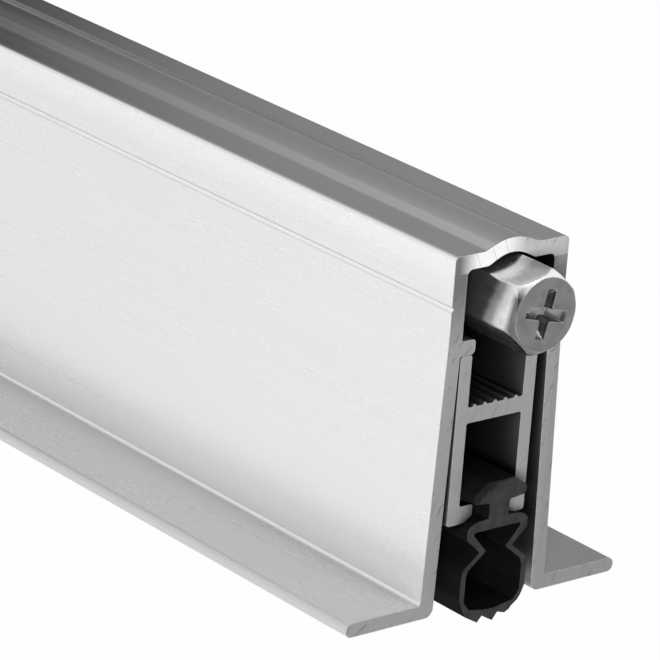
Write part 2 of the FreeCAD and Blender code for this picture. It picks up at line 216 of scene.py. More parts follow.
drawn_lines, given, result = effect(
    "drawn lines",
    [("Colour", "Color", grey(0.8)), ("Contrast", "Float", 0.1), ("Roughness", "Float", 0.4)],
    [("Colour", "Color"), ("Roughness", "Float"), ("Height", "Float")],
)
tree = drawn_lines
sway_middle = 1.6
hairs = grain(tree, (7.0, 1200.0, 1200.0), detail=1.0)
bands = grain(tree, (3.0, 300.0, 300.0))
clouds = grain(tree, (22.0, 70.0, 70.0), turn=(0.0, 0.12, 0.0), detail=3.0)
sway = plus(tree, times(tree, hairs, 0.9), times(tree, bands, 0.7))
sway = minus(tree, plus(tree, sway, times(tree, clouds, 1.6)), sway_middle)
tone = plus(tree, times(tree, sway, given["Contrast"]), 1.0)
put(tree, tint(tree, given["Colour"], tone), result["Colour"])
painted_light = times(tree, sway, 0.08)
put(tree, plus(tree, given["Roughness"], painted_light, clamp=True), result["Roughness"])
put(tree, plus(tree, hairs, bands), result["Height"])

sawn_end, given, result = effect(
    "sawn end",
    [("Colour", "Color", grey(0.5)), ("Half length", "Float", half_length), ("Marks", "Float", 0.4)],
    [("Mask", "Float"), ("Colour", "Color"), ("Height", "Float")],
)
tree = sawn_end
tooth_lean = 0.55
slash_width = 0.10
along = calc(tree, "ABSOLUTE", axes(tree)["X"])
put(tree, is_over(tree, along, minus(tree, given["Half length"], cut_skin)), result["Mask"])
place = add(tree, "ShaderNodeTexCoord")
lean = add(tree, "ShaderNodeMapping")
lean.inputs["Rotation"].default_value = (tooth_lean, 0.0, 0.0)
teeth = add(tree, "ShaderNodeTexWave", bands_direction="Y")
teeth.inputs["Scale"].default_value = 210.0
teeth.inputs["Distortion"].default_value = 5.0
teeth.inputs["Detail Scale"].default_value = 2.0
tree.links.new(place.outputs["Object"], lean.inputs[0])
tree.links.new(lean.outputs[0], teeth.inputs[0])
slash = minus(tree, 1.0, calc(tree, "DIVIDE", teeth.outputs["Fac"], slash_width), clamp=True)
slash = times(tree, slash, peaks(tree, grain(tree, (500.0, 450.0, 600.0)), 0.52, 8.0))
speckle = grain(tree, (2600.0, 2600.0, 2600.0), detail=4.0, rough=0.7)
pit = peaks(tree, grain(tree, (1500.0, 1500.0, 1500.0)), 0.72, 14.0)
dark = times(tree, larger(tree, slash, pit), given["Marks"])
tone = minus(tree, plus(tree, times(tree, speckle, 0.35), 0.83), dark)
put(tree, tint(tree, given["Colour"], tone), result["Colour"])
put(tree, minus(tree, times(tree, speckle, 0.5), slash), result["Height"])

# Bright edges: partly real wear, partly a painted highlight along the edges that catch the light.
edge_wear_and_highlight, given, result = effect("worn edge and painted highlight", [("Radius", "Float", 0.0002)], [("Mask", "Float")])
tree = edge_wear_and_highlight
soft = add(tree, "ShaderNodeBevel", samples=6)
put(tree, given["Radius"], soft.inputs["Radius"])
flat = add(tree, "ShaderNodeNewGeometry")
turned = add(tree, "ShaderNodeVectorMath", operation="DOT_PRODUCT")
tree.links.new(soft.outputs[0], turned.inputs[0])
tree.links.new(flat.outputs["Normal"], turned.inputs[1])
away = times(tree, minus(tree, 1.0, turned.outputs["Value"]), 5.0, clamp=True)
patchy = times(tree, grain(tree, (400.0, 900.0, 900.0), detail=3.0), 0.9)
put(tree, times(tree, away, plus(tree, patchy, 0.4, clamp=True)), result["Mask"])

recess_grime, given, result = effect(
    "grime in recesses", [("Reach", "Float", 0.012), ("Left", "Float", 0.1)], [("Shade", "Float")]
)
tree = recess_grime
grimy_up_to = 0.22
grime_fade = 0.34
open_air = add(tree, "ShaderNodeAmbientOcclusion", samples=10, only_local=False)
put(tree, given["Reach"], open_air.inputs["Distance"])
clean = rising(tree, open_air.outputs["AO"], grimy_up_to, grime_fade)
put(tree, mix_number(tree, clean, given["Left"], 1.0), result["Shade"])

# The sawn end: a painted highlight, a near-white patch at the left of the hump, and seams across it.
# Painted light on the top band right of the middle; the upper left corner and the right wall's end
# darker.
crown_foot = 0.0437
crown_middle = 0.0455
seam_lean = 0.42
seam_width = 0.00007
seams = (-0.0056, -0.0029, -0.0007, 0.0038)
highlight_span = (-0.0085, 0.0022, 0.0030)
wall_rim = 0.0087
housing_finish, tree, shader = finish("brushed aluminium", 0.3, 0.6)
drawn = apply_effect(tree, drawn_lines, Colour=grey(0.84), Contrast=0.05, Roughness=0.28)
sawn = apply_effect(tree, sawn_end, Colour=grey(0.328), Marks=0.5)
wear_and_highlight = apply_effect(tree, edge_wear_and_highlight, Radius=0.00018)["Mask"]
where = axes(tree)
across = where["Y"]
level = where["Z"]
aside = calc(tree, "ABSOLUTE", across)
upper = is_over(tree, level, crown_foot)
# Painted highlight: a near-white patch on the end at the left of the hump.
painted_highlight = times(tree, between(tree, across, *highlight_span), upper)
slant = plus(tree, across, times(tree, minus(tree, level, crown_middle), seam_lean))
seam_line = 0.0
for seam in seams:
    off_seam = calc(tree, "ABSOLUTE", minus(tree, slant, seam))
    stroke = minus(tree, 1.0, calc(tree, "DIVIDE", off_seam, seam_width), clamp=True)
    seam_line = larger(tree, seam_line, stroke)
seam_line = times(tree, times(tree, seam_line, upper), 0.6)
corner = times(tree, falling(tree, across, -0.0060, 0.0015), rising(tree, level, 0.034, 0.008))
# Painted light on the top band right of the middle; the upper left corner darker.
right_top = times(tree, is_over(tree, across, -0.002), upper)
end_tone = minus(tree, plus(tree, times(tree, right_top, 0.6), 1.0), times(tree, corner, 0.5))
cut_with_highlight = mix_colour(tree, painted_highlight, tint(tree, sawn["Colour"], end_tone), grey(0.98))
cut_colour = mix_colour(tree, seam_line, cut_with_highlight, grey(0.2))
cut_colour = tint_where(tree, is_over(tree, across, wall_rim), cut_colour, 0.92)

# The drill groove along the outside of both walls: a painted highlight on its foot between painted
# shadows on its two lips.
wall_inside = 0.0085
groove_soft = 0.00004
on_wall = is_over(tree, aside, wall_inside)
upper_lip = between(tree, level, 0.03946, 0.03970, groove_soft)
lower_lip = between(tree, level, 0.03884, 0.03898, groove_soft)
groove_shadow = larger(tree, upper_lip, times(tree, lower_lip, 0.6))
groove_shadow = times(tree, times(tree, groove_shadow, on_wall), 0.6)
groove_highlight = times(tree, between(tree, level, 0.03898, 0.03944, groove_soft), on_wall)
side_colour = mix_colour(tree, groove_highlight, drawn["Colour"], grey(0.98))
side_colour = mix_colour(tree, groove_shadow, side_colour, grey(0.25))

# The faces left as drawn: the chamber's lining, the flanges, the top and the hollow on its far side.
# Painted shade: the lining's far wall much darker, the flanges darker, the far one more, everything
# below the flanges' tops darker again, and the hollow darker. Painted light: the walls lighter near the
# top.
lining_top = 0.04605
flange_top = 0.0005
flange_side = -0.0002
flange_from = 0.0107
top_foot = 0.0456
shaded_lining = times(tree, is_under(tree, aside, wall_rim), is_under(tree, level, lining_top))
# Painted shade on the chamber's lining, much darker on its far wall.
back = is_over(tree, across, 0.0)
side_colour = mix_colour(tree, shaded_lining, side_colour, mix_colour(tree, back, grey(0.85), grey(0.24)))
# Painted shade on the flanges, more on the far one, and on all below the flanges' tops.
on_flange = times(tree, is_under(tree, level, flange_top), is_over(tree, aside, flange_from))
side_colour = tint_where(tree, on_flange, side_colour, mix_number(tree, back, 0.90, 0.80))
side_colour = tint_where(tree, is_under(tree, level, flange_side), side_colour, 0.84)
# Painted shade in the hollow on the top's far side.
on_top = rising(tree, level, top_foot, 0.0004)
valley = times(tree, between(tree, across, 0.0010, 0.0052, 0.0010), on_top)
side_colour = tint_where(tree, valley, side_colour, 0.72)
# Painted light on the outside walls towards the top.
lit_wall_top = times(tree, rising(tree, level, 0.0415, 0.003), minus(tree, on_wall, on_top, clamp=True))
side_colour = tint_where(tree, lit_wall_top, side_colour, 1.08)

colour = mix_colour(tree, sawn["Mask"], side_colour, cut_colour)
# Edges lightened: wear and painted highlight.
colour = mix_colour(tree, times(tree, wear_and_highlight, 0.6), colour, grey(0.95))
# Painted shade in the chambers and gaps.
shade = apply_effect(tree, recess_grime, Reach=0.016, Left=0.08)["Shade"]
put(tree, tint(tree, colour, shade), shader["Base Color"])
drawn_metal = minus(tree, mix_number(tree, on_top, 0.6, 0.82), times(tree, valley, 0.62))
put(tree, mix_number(tree, sawn["Mask"], drawn_metal, 0.05), shader["Metallic"])
put(tree, mix_number(tree, valley, 0.5, 0.1), shader["Specular IOR Level"])
drawn_rough = minus(tree, drawn["Roughness"], times(tree, on_top, 0.11))
drawn_rough = plus(tree, drawn_rough, times(tree, valley, 0.5))
rough = mix_number(tree, sawn["Mask"], drawn_rough, 0.55)
put(tree, mix_number(tree, times(tree, wear_and_highlight, 0.7), rough, 0.28), shader["Roughness"])
height = mix_number(tree, sawn["Mask"], drawn["Height"], sawn["Height"])
put(tree, relief(tree, height, 0.012, 0.0001, edge=0.00012), shader["Normal"])
dress(housing_finish, "housing")

# Guide blocks. Three white acetal blocks pushed into the housing's upper chamber and screwed to its
# back wall: the front one carries the push rod, the rear one the slide strip, the third the guide pin.
plastic_finish, tree, shader = finish("moulded acetal", 0.5, 0.0)
mottle = grain(tree, (900.0, 900.0, 900.0), detail=4.0)
flow = grain(tree, (60.0, 240.0, 240.0))
pale = plus(tree, times(tree, flow, 0.08), 0.95)
put(tree, tint(tree, (0.78, 0.77, 0.73, 1.0), pale), shader["Base Color"])
put(tree, plus(tree, times(tree, mottle, 0.2), 0.38), shader["Roughness"])
put(tree, relief(tree, mottle, 0.2, 0.00008, edge=0.0002), shader["Normal"])
dress(plastic_finish, "front_guide_block", "rear_guide_block", "drop_guide_block")

# Block screws. Four countersunk cross-head steel screws, zinc plated, driven through the housing's
# back wall on its drill groove, flush with the wall, two in the drop guide block and one in each other.
plate_marks, given, result = effect(
    "plated steel",
    [("Colour", "Color", grey(0.6)), ("Roughness", "Float", 0.3), ("Dirt", "Float", 0.3)],
    [("Colour", "Color"), ("Roughness", "Float"), ("Height", "Float")],
)
tree = plate_marks
spangle = grain(tree, (500.0, 500.0, 500.0), detail=3.0)
rub = grain(tree, (260.0, 3000.0, 900.0), turn=(0.4, 0.3, 0.9), detail=3.0, rough=0.6)
grime = times(tree, minus(tree, spangle, 0.5), given["Dirt"])
tone = plus(tree, plus(tree, grime, times(tree, rub, 0.16)), 0.92)
put(tree, tint(tree, given["Colour"], tone), result["Colour"])
uneven = plus(tree, times(tree, rub, 0.2), times(tree, spangle, 0.1))
uneven = minus(tree, plus(tree, given["Roughness"], uneven), 0.15, clamp=True)
put(tree, uneven, result["Roughness"])
put(tree, plus(tree, times(tree, rub, 0.6), spangle), result["Height"])


def plated(name, colour, roughness, dirt):
    material, tree, shader = finish(name, roughness, 0.95)
    marks = apply_effect(tree, plate_marks, Colour=colour, Roughness=roughness, Dirt=dirt)
    wear_and_highlight = apply_effect(tree, edge_wear_and_highlight, Radius=0.0002)["Mask"]
    # Edges lightened: wear and painted highlight.
    colour = mix_colour(tree, times(tree, wear_and_highlight, 0.5), marks["Colour"], (0.92, 0.92, 0.9, 1.0))
    put(tree, colour, shader["Base Color"])
    put(tree, marks["Roughness"], shader["Roughness"])
    put(tree, relief(tree, marks["Height"], 0.15, 0.00005, edge=0.0001), shader["Normal"])
    return material


def start():
    if bpy.context.object and bpy.context.object.mode == "EDIT":
        bpy.ops.object.mode_set(mode="OBJECT")
    bpy.ops.object.select_all(action="DESELECT")


def pick(thing, test):
    """Edit mode with only the faces that pass the test selected, by centre and normal."""
    bpy.ops.object.mode_set(mode="EDIT")
    bpy.ops.mesh.select_mode(type="FACE")
    mesh = bmesh.from_edit_mesh(thing.data)
    for face in mesh.faces:
        face.select_set(False)
    mesh.select_flush(False)
    for face in mesh.faces:
        if test(face.calc_center_median(), face.normal):
            face.select_set(True)
    bmesh.update_edit_mesh(thing.data)


def settle(thing, name):
    """Object mode, named, and with its place in its mesh."""
    if thing.mode == "EDIT":
        bpy.ops.object.mode_set(mode="OBJECT")
    bpy.ops.object.select_all(action="DESELECT")
    thing.select_set(True)
    bpy.context.view_layer.objects.active = thing
    bpy.ops.object.transform_apply(location=True, rotation=True, scale=True)
    thing.name = name
    thing.data.name = name


def carve(thing, tool, way="DIFFERENCE"):
    """Cuts the tool out of the thing, keeps what they share or joins them; the tool goes."""
    start()
    bpy.context.view_layer.objects.active = thing
    thing.select_set(True)
    cut = thing.modifiers.new("cut", "BOOLEAN")
    cut.operation = way
    cut.solver = "EXACT"
    cut.object = tool
    bpy.ops.object.modifier_apply(modifier=cut.name)
    bpy.data.objects.remove(tool)


def round_edges(thing, width, steps):
    soft = thing.modifiers.new("soft", "BEVEL")
    soft.width = width
    soft.segments = steps
    soft.limit_method = "ANGLE"
    soft.angle_limit = 0.5
    bpy.ops.object.modifier_apply(modifier=soft.name)
    bpy.ops.object.shade_smooth_by_angle(angle=0.7)


def wing(place, wide, long, deep, shrink_wide, shrink_long):
    """One blade of a cross recess, cut along -X from its place, narrowed towards its point."""
    start()
    bpy.ops.mesh.primitive_cube_add(size=1.0, location=(place.x - deep / 2.0, place.y, place.z))
    blade = bpy.context.object
    blade.scale = (deep, wide, long)
    bpy.ops.object.transform_apply(location=True, rotation=True, scale=True)
    pick(blade, lambda centre, normal: normal.x < -0.9)
    bpy.ops.transform.resize(value=(1.0, shrink_wide, shrink_long), center_override=tuple(place))
    bpy.ops.object.mode_set(mode="OBJECT")
    return blade


screw_line = 0.0393
wall_face = 0.00925
head_radius = 0.0036
shank_radius = 0.0020
head_deep = 0.0016
screw_long = 0.0056
block_screw_finish = plated("block screw zinc", (0.62, 0.62, 0.60, 1.0), 0.32, 0.3)
screw_places = (0.107, -0.103, -0.133, -0.147)
head_spread = head_radius / shank_radius
start()
bpy.ops.mesh.primitive_cylinder_add(
    vertices=32, radius=shank_radius, depth=screw_long - head_deep,
    location=(0.0, -(screw_long + head_deep) / 2.0, 0.0), rotation=(-math.pi / 2.0, 0.0, 0.0),
)
screw = bpy.context.object
bpy.ops.object.transform_apply(location=True, rotation=True, scale=True)
pick(screw, lambda centre, normal: normal.y > 0.9)
bpy.ops.mesh.extrude_region_move(TRANSFORM_OT_translate={"value": (0.0, head_deep, 0.0)})
bpy.ops.transform.resize(value=(head_spread, 1.0, head_spread), center_override=(0.0, 0.0, 0.0))
bpy.ops.object.mode_set(mode="OBJECT")
recess = dict(wide=0.0009, long=0.0040, deep=0.0015, shrink_wide=0.7, shrink_long=0.45)
for quarter in (0.0, math.pi / 2.0):
    blade = wing(Vector((0.0002, 0.0, 0.0)), **recess)
    blade.data.transform(Matrix.Rotation(math.pi / 2.0, 4, "Z") @ Matrix.Rotation(quarter, 4, "X"))
    carve(screw, blade)
round_edges(screw, 0.00006, 2)
screw.data.materials.clear()
screw.data.materials.append(block_screw_finish)
screws = [screw]
for place in screw_places[1:]:
    start()
    screw.select_set(True)
    bpy.context.view_layer.objects.active = screw
    bpy.ops.object.duplicate(linked=False)
    screws.append(bpy.context.object)
for number, driven in enumerate(screws):
    turned_in = Matrix.Rotation(0.5 * number, 4, "Y")
    in_place = Matrix.Translation((screw_places[number], wall_face, screw_line))
    driven.data.transform(in_place @ turned_in)
    settle(driven, f"block_screw_{number + 1}")
    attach(driven, "housing")
    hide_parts("block_screws")

# Return spring. One length of round spring wire wound into four open turns with a closed turn at
# each end, on the push rod between the front guide block and the washer. It pushes the rod back.
spring_from = 0.114
spring_to = 0.139
wire = 0.0012
coil_radius = 0.00385
rod_line = 0.0394
open_turns = 4.0
open_pitch = (spring_to - spring_from - 3.0 * wire) / open_turns
around = 32
begin = spring_from + wire / 2.0
lengths = []
for count, pitch in ((1.0, wire), (open_turns, open_pitch), (1.0, wire)):
    start()
    bpy.ops.mesh.primitive_circle_add(
        vertices=12, radius=wire / 2.0, location=(begin, 0.0, coil_radius),
        rotation=(math.pi / 2.0, 0.0, 0.0),
    )
    wound = bpy.context.object
    bpy.ops.object.transform_apply(location=True, rotation=True, scale=True)
    turn = wound.modifiers.new("wind", "SCREW")
    turn.axis = "X"
    turn.angle = 2.0 * math.pi * count
    turn.screw_offset = pitch * count
    turn.steps = int(around * count)
    turn.render_steps = int(around * count)
    turn.use_merge_vertices = False
    bpy.ops.object.modifier_apply(modifier=turn.name)
    begin += pitch * count
    lengths.append(wound)
start()
for wound in lengths:
    wound.select_set(True)
spring = lengths[0]
bpy.context.view_layer.objects.active = spring
bpy.ops.object.join()
bpy.ops.object.mode_set(mode="EDIT")
bpy.ops.mesh.select_all(action="SELECT")
bpy.ops.mesh.remove_doubles(threshold=0.00002)
bpy.ops.mesh.select_all(action="DESELECT")
bpy.ops.mesh.select_mode(type="EDGE")
bpy.ops.mesh.select_non_manifold(extend=False)
bpy.ops.mesh.edge_face_add()
bpy.ops.mesh.select_all(action="SELECT")
bpy.ops.mesh.normals_make_consistent(inside=False)
bpy.ops.transform.translate(value=(0.0, 0.0, rod_line))
bpy.ops.object.mode_set(mode="OBJECT")
bpy.ops.object.shade_smooth_by_angle(angle=0.9)
settle(spring, "return_spring_wire")
spring.data.materials.append(plated("spring wire", (0.34, 0.33, 0.32, 1.0), 0.36, 0.4))
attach(spring, "housing")
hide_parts("return_spring")
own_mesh(spring)

# Push rod and what is pressed on it. A drawn steel rod with a turned brass sleeve in front, which
# takes the adjusting screw, a dished spring washer behind the sleeve and a pinned clevis at its end.
dress(plated("drawn rod", (0.55, 0.55, 0.56, 1.0), 0.28, 0.15), "push_rod", "rod_clevis")
dress(plated("bright pin", (0.66, 0.66, 0.66, 1.0), 0.22, 0.15), "clevis_pin", "guide_pin")
dress(plated("spring washer", (0.36, 0.36, 0.37, 1.0), 0.35, 0.3), "spring_washer")
brass_finish, tree, shader = finish("turned brass", 0.3, 1.0)
rings = grain(tree, (4200.0, 60.0, 60.0))
tarnish = grain(tree, (160.0, 160.0, 160.0), detail=4.0, rough=0.65)
colour = mix_colour(tree, tarnish, (0.80, 0.60, 0.28, 1.0), (0.55, 0.38, 0.17, 1.0))
put(tree, colour, shader["Base Color"])
put(tree, plus(tree, times(tree, tarnish, 0.35), 0.14), shader["Roughness"])
put(tree, relief(tree, rings, 0.25, 0.00004, edge=0.0001), shader["Normal"])
dress(brass_finish, "threaded_sleeve")

# Slide strip, levers, lugs and guide plate. All are blanked from zinc plated steel sheet: the strip
# carries the push along the chamber, and the two pairs of levers swing the lugs and the bar down.
sheet_finish = plated("zinc plated sheet", (0.66, 0.65, 0.62, 1.0), 0.34, 0.35)
dress(sheet_finish, "slide_strip", "guide_plate", "front_lug", "rear_lug")
dress(sheet_finish, "front_lever_left", "front_lever_right", "rear_lever_left", "rear_lever_right")
dress(
    plated("lever pin", (0.70, 0.70, 0.69, 1.0), 0.24, 0.2),
    "front_upper_pin", "front_lower_pin", "rear_upper_pin", "rear_lower_pin",
)

# Drop bar. The aluminium extrusion that goes down, an H with five fine ribs on its web and two lips
# that hold the seal. Same mill finish and same sawn ends as the housing, a little duller, and its
# drawn faces painted far darker as shade, darker still between its flanks.
bar_middle = -0.0007
flank_inside = 0.0047
bar_finish, tree, shader = finish("bar aluminium", 0.45, 0.5)
# Painted shade: the drawn faces far darker than the housing's.
drawn = apply_effect(tree, drawn_lines, Colour=grey(0.36), Contrast=0.12, Roughness=0.45)
sawn = apply_effect(tree, sawn_end, Colour=grey(0.35), Marks=0.25)
wear_and_highlight = apply_effect(tree, edge_wear_and_highlight, Radius=0.00015)["Mask"]
aside = calc(tree, "ABSOLUTE", minus(tree, axes(tree)["Y"], bar_middle))
# Painted shade on the faces between the flanks.
shaded_lining = is_under(tree, aside, flank_inside)
side_colour = mix_colour(tree, shaded_lining, drawn["Colour"], grey(0.16))
colour = mix_colour(tree, sawn["Mask"], side_colour, sawn["Colour"])
# Edges lightened: wear and painted highlight.
colour = mix_colour(tree, times(tree, wear_and_highlight, 0.4), colour, grey(0.9))
# Painted shade in the channels and gaps.
shade = apply_effect(tree, recess_grime, Reach=0.016, Left=0.08)["Shade"]
put(tree, tint(tree, colour, shade), shader["Base Color"])
put(tree, mix_number(tree, sawn["Mask"], 0.5, 0.1), shader["Metallic"])
put(tree, mix_number(tree, sawn["Mask"], drawn["Roughness"], 0.55), shader["Roughness"])
height = mix_number(tree, sawn["Mask"], drawn["Height"], sawn["Height"])
put(tree, relief(tree, height, 0.05, 0.0001, edge=0.0001), shader["Normal"])
dress(bar_finish, "drop_bar")

# Seal. A black rubber extrusion, its head slid into the bar's lips from the end and cut with a knife
# a little longer than the bar. Its free ends swell, so that the shoulders rise in front of the lips.
seal_over = 0.0025
shoulder_from = 0.00914
shoulder_to = 0.0115
shoulder_inside = 0.00165
crown_base = 0.0084
crown_rise = 0.0027
crown_half = 0.0054
throat_half = 0.0043
throat_top = 0.00975
head_from = 0.0127
head_to = 0.0139
head_rise = 0.0003
start()
seal = bpy.data.objects.new("seal_swollen_ends", nodes["seal"].data.copy())
bpy.context.collection.objects.link(seal)
bpy.context.view_layer.objects.active = seal
seal.select_set(True)
bpy.ops.object.mode_set(mode="EDIT")
bpy.ops.mesh.select_all(action="SELECT")
bpy.ops.mesh.remove_doubles(threshold=0.000002)
bpy.ops.mesh.tris_convert_to_quads(face_threshold=0.02, shape_threshold=3.2)
for swell in (0.0, 0.0008, 0.0016):
    for end in (-1.0, 1.0):
        across_end = (end * (half_length + swell), 0.0, 0.0)
        bpy.ops.mesh.select_all(action="SELECT")
        bpy.ops.mesh.bisect(plane_co=across_end, plane_no=(1.0, 0.0, 0.0))
for offset in (-0.0047, -0.0040, -0.0032, -0.0024, 0.0024, 0.0032, 0.0040, 0.0047):
    bpy.ops.mesh.select_all(action="SELECT")
    bpy.ops.mesh.bisect(plane_co=(0.0, bar_middle + offset, 0.0), plane_no=(0.0, 1.0, 0.0))
mesh = bmesh.from_edit_mesh(seal.data)
for point in mesh.verts:
    out = min(max((abs(point.co.x) - half_length) / seal_over, 0.0), 1.0)
    free = out * (2.0 - out)
    aside = abs(point.co.y - bar_middle)
    in_throat = aside < throat_half and point.co.z < throat_top
    if shoulder_from < point.co.z < shoulder_to and aside > shoulder_inside:
        crown = crown_base + crown_rise * math.sqrt(max(1.0 - (aside / crown_half) ** 6, 0.0))
        if not in_throat:
            point.co.z += free * max(crown - point.co.z, 0.0)
    elif head_from < point.co.z < head_to:
        point.co.z += free * head_rise
bmesh.update_edit_mesh(seal.data)
bpy.ops.mesh.select_all(action="SELECT")
bpy.ops.mesh.normals_make_consistent(inside=False)
bpy.ops.object.mode_set(mode="OBJECT")
bpy.ops.mesh.customdata_custom_splitnormals_clear()
bpy.ops.object.shade_smooth_by_angle(angle=0.6)
settle(seal, "seal_swollen_ends")

shadow_from = 0.0172
shadow_lean = -0.55
seal_finish, tree, shader = finish("seal rubber", 0.55, 0.0)
where = axes(tree)
seal_end = half_length + seal_over - cut_skin
cut = is_over(tree, calc(tree, "ABSOLUTE", where["X"]), seal_end)
skin = grain(tree, (10.0, 1500.0, 1500.0))
pores = grain(tree, (2400.0, 2400.0, 2400.0), detail=4.0, rough=0.7)
blotch = grain(tree, (300.0, 520.0, 520.0), detail=4.0, rough=0.65)
dust = peaks(tree, grain(tree, (800.0, 1200.0, 1200.0)), 0.74, 10.0)
skin_tone = plus(tree, times(tree, skin, 0.5), 0.75)
face_tone = plus(tree, times(tree, pores, 0.7), times(tree, blotch, 1.3))
# Painted shadow of the bar on the upper left of the head's cut face, with a blotchy edge.
bar_shadow = plus(tree, times(tree, minus(tree, where["Y"], bar_middle), shadow_lean), where["Z"])
bar_shadow = rising(tree, plus(tree, bar_shadow, times(tree, blotch, 0.004)), shadow_from, 0.0010)
face_tone = times(tree, face_tone, mix_number(tree, bar_shadow, 1.0, 0.35))
skin_colour = tint(tree, (0.007, 0.007, 0.0075, 1.0), skin_tone)
face_colour = tint(tree, (0.050, 0.050, 0.052, 1.0), face_tone)
colour = mix_colour(tree, cut, skin_colour, face_colour)
colour = mix_colour(tree, times(tree, dust, 0.35), colour, (0.16, 0.16, 0.15, 1.0))
put(tree, colour, shader["Base Color"])
put(tree, mix_number(tree, cut, 0.75, 0.9), shader["Roughness"])
height = mix_number(tree, cut, skin, pores)
put(tree, relief(tree, height, 0.3, 0.00005, edge=0.0001), shader["Normal"])
shader["Specular IOR Level"].default_value = 0.04
seal.data.materials.clear()
seal.data.materials.append(seal_finish)
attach(seal, "drop_bar")
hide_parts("seal")

# Adjusting screw. Cold formed steel, zinc plated: a long hexagon with a dished chamfer round its face,
# a stamped cross recess for the screwdriver, and a threaded shank that turns in the brass sleeve.
hexagon_back = 0.1625
face_x = 0.1745
across_flats = 0.010
face_radius = 0.00485
hexagon_turn = math.radians(-14.0)
corner_angle = math.radians(30.0)
chamfer_steps = ((0.00015, 1.05), (0.0004, 1.07), (0.0005, 1.05), (0.0008, 1.06), (0.0125, 1.0))
along_x = (0.0, math.pi / 2.0, 0.0)
start()
bpy.ops.mesh.primitive_cylinder_add(
    vertices=6, radius=across_flats / math.sqrt(3.0), depth=face_x - hexagon_back,
    location=((hexagon_back + face_x) / 2.0, 0.0, 0.0), rotation=along_x,
)
head = bpy.context.object
bpy.ops.object.transform_apply(location=True, rotation=True, scale=True)
first = max(head.data.vertices, key=lambda v: (v.co.x, v.co.y))
head.data.transform(Matrix.Rotation(corner_angle - math.atan2(first.co.z, first.co.y), 4, "X"))
round_edges(head, 0.0003, 4)
start()
bpy.ops.mesh.primitive_cylinder_add(
    vertices=96, radius=face_radius, depth=0.0002, location=(face_x - 0.0001, 0.0, 0.0),
    rotation=along_x,
)
form = bpy.context.object
bpy.ops.object.transform_apply(location=True, rotation=True, scale=True)
for back, growth in chamfer_steps:
    pick(form, lambda centre, normal: normal.x < -0.9)
    bpy.ops.mesh.extrude_region_move(TRANSFORM_OT_translate={"value": (-back, 0.0, 0.0)})
    bpy.ops.transform.resize(value=(1.0, growth, growth), center_override=(0.0, 0.0, 0.0))
carve(head, form, "INTERSECT")

recess_mouth = Vector((face_x + 0.0002, 0.0, 0.0))
recess_heart = 0.0013
recess = dict(wide=0.00155, long=0.0070, deep=0.0024, shrink_wide=0.7, shrink_long=0.5)
cross = wing(recess_mouth, **recess)
second = wing(recess_mouth, **recess)
second.data.transform(Matrix.Rotation(math.pi / 2.0, 4, "X"))
carve(cross, second, "UNION")
bpy.ops.object.mode_set(mode="EDIT")
bpy.ops.mesh.select_all(action="DESELECT")
bpy.ops.mesh.select_mode(type="EDGE")
mesh = bmesh.from_edit_mesh(cross.data)
for edge in mesh.edges:
    near = [math.hypot(v.co.y, v.co.z) < recess_heart for v in edge.verts]
    edge.select_set(all(near) and abs(edge.verts[0].co.x - edge.verts[1].co.x) > 0.001)
bmesh.update_edit_mesh(cross.data)
bpy.ops.mesh.bevel(offset=0.00045, segments=4)
bpy.ops.object.mode_set(mode="OBJECT")
carve(head, cross)
round_edges(head, 0.00018, 3)

shank_from = 0.1455
shank_to = hexagon_back + 0.0006
thread_from = 0.1462
thread_radius = 0.00248
thread_side = 0.00052
pitch = 0.001
thread_turns = 15
start()
bpy.ops.mesh.primitive_cylinder_add(
    vertices=32, radius=0.00255, depth=shank_to - shank_from,
    location=((shank_to + shank_from) / 2.0, 0.0, 0.0), rotation=along_x,
)
shank = bpy.context.object
bpy.ops.object.transform_apply(location=True, rotation=True, scale=True)
start()
bpy.ops.mesh.primitive_circle_add(
    vertices=3, radius=thread_side, location=(thread_from, 0.0, thread_radius),
    rotation=(math.pi / 2.0, 0.0, 0.0),
)
thread = bpy.context.object
bpy.ops.object.transform_apply(location=True, rotation=True, scale=True)
run = thread.modifiers.new("thread", "SCREW")
run.axis = "X"
run.angle = 2.0 * math.pi * thread_turns
run.screw_offset = pitch * thread_turns
run.steps = 24 * thread_turns
run.render_steps = 24 * thread_turns
bpy.ops.object.modifier_apply(modifier=run.name)
start()
for thing in (head, shank, thread):
    thing.select_set(True)
bpy.context.view_layer.objects.active = head
bpy.ops.object.join()
turned_on_line = Matrix.Translation((0.0, 0.0, rod_line)) @ Matrix.Rotation(hexagon_turn, 4, "X")
head.data.transform(turned_on_line)
settle(head, "adjusting_screw_turned")

recess_reach = 0.0038
recess_floor = 0.0026
top_facet = 0.0026
screw_finish, tree, shader = finish("screw zinc", 0.22, 0.95)
zinc = apply_effect(tree, plate_marks, Colour=grey(0.70), Roughness=0.24, Dirt=0.8)
wear_and_highlight = apply_effect(tree, edge_wear_and_highlight, Radius=0.0002)["Mask"]
where = axes(tree)
flat = add(tree, "ShaderNodeVectorMath", operation="MULTIPLY_ADD")
flat.inputs[1].default_value = (0.0, 1.0, 1.0)
flat.inputs[2].default_value = (0.0, 0.0, -rod_line)
from_axis = add(tree, "ShaderNodeVectorMath", operation="LENGTH")
place = add(tree, "ShaderNodeTexCoord")
tree.links.new(place.outputs["Object"], flat.inputs[0])
tree.links.new(flat.outputs[0], from_axis.inputs[0])
face = is_over(tree, where["X"], face_x - 0.00008)
rim = is_over(tree, where["X"], face_x - 0.0005)
in_recess = times(
    tree,
    is_over(tree, where["X"], face_x - recess_floor),
    is_under(tree, from_axis.outputs["Value"], recess_reach),
)
in_recess = minus(tree, in_recess, rim, clamp=True)
